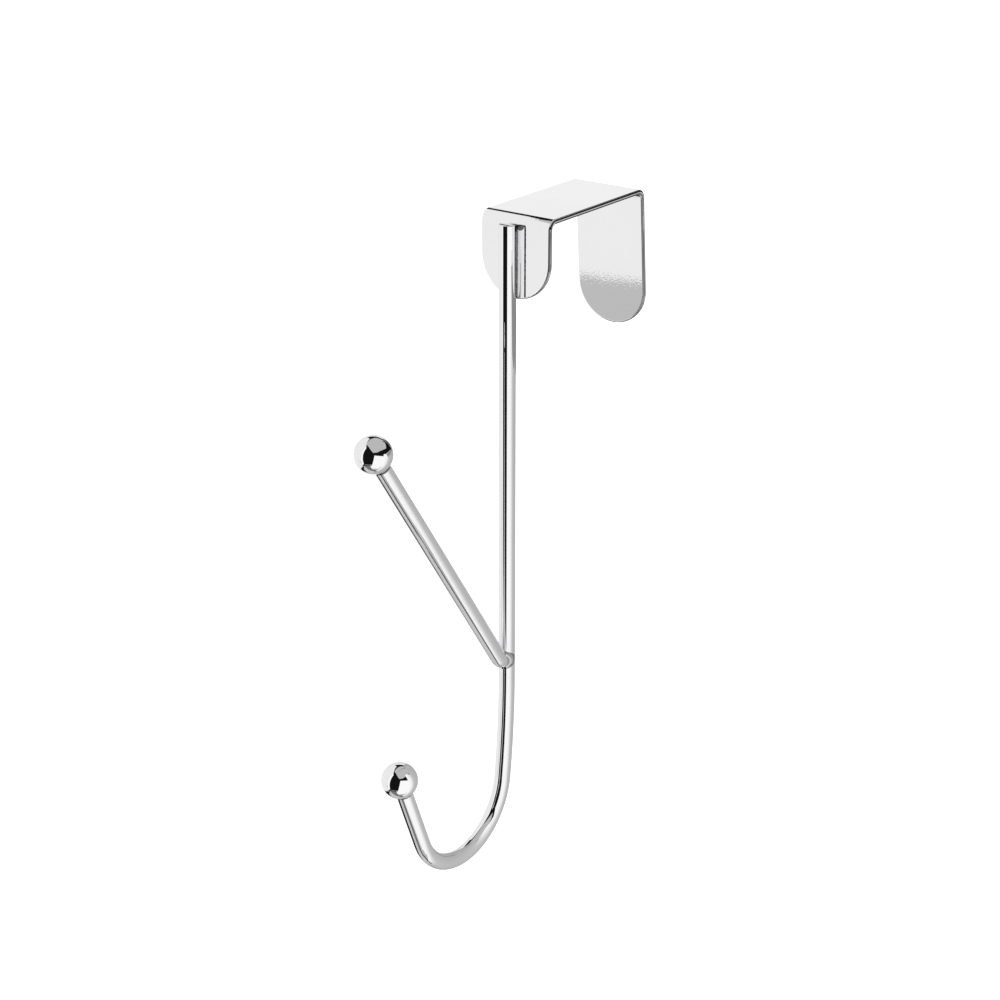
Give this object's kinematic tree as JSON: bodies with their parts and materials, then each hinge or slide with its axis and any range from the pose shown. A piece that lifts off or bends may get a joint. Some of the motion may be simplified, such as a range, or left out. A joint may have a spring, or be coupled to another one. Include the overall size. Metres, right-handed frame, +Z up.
{
  "type": "over door hook",
  "caption": "Over-door hook: a folded metal strip sits on a door's top edge and carries a wire J-hook and an upper slanted prong, both ending in balls.",
  "frame": {"origin": "middle of the strip's underside, where it sits on the door's top edge", "axes": "+X across the strip, -Y out into the room on the hook's side, +Z up"},
  "size_m": [0.024, 0.1201, 0.199],
  "materials": {
    "strip_chrome": "polished plating on folded strip",
    "wire_chrome": "polished plating on drawn wire",
    "ball_chrome": "polished plating on turned ball"
  },
  "bodies": {
    "root": {"door_bracket": "strip_chrome", "hook_rod": "wire_chrome", "prong_rod": "wire_chrome", "hook_ball": "ball_chrome", "prong_ball": "ball_chrome"}
  },
  "joints": []
}
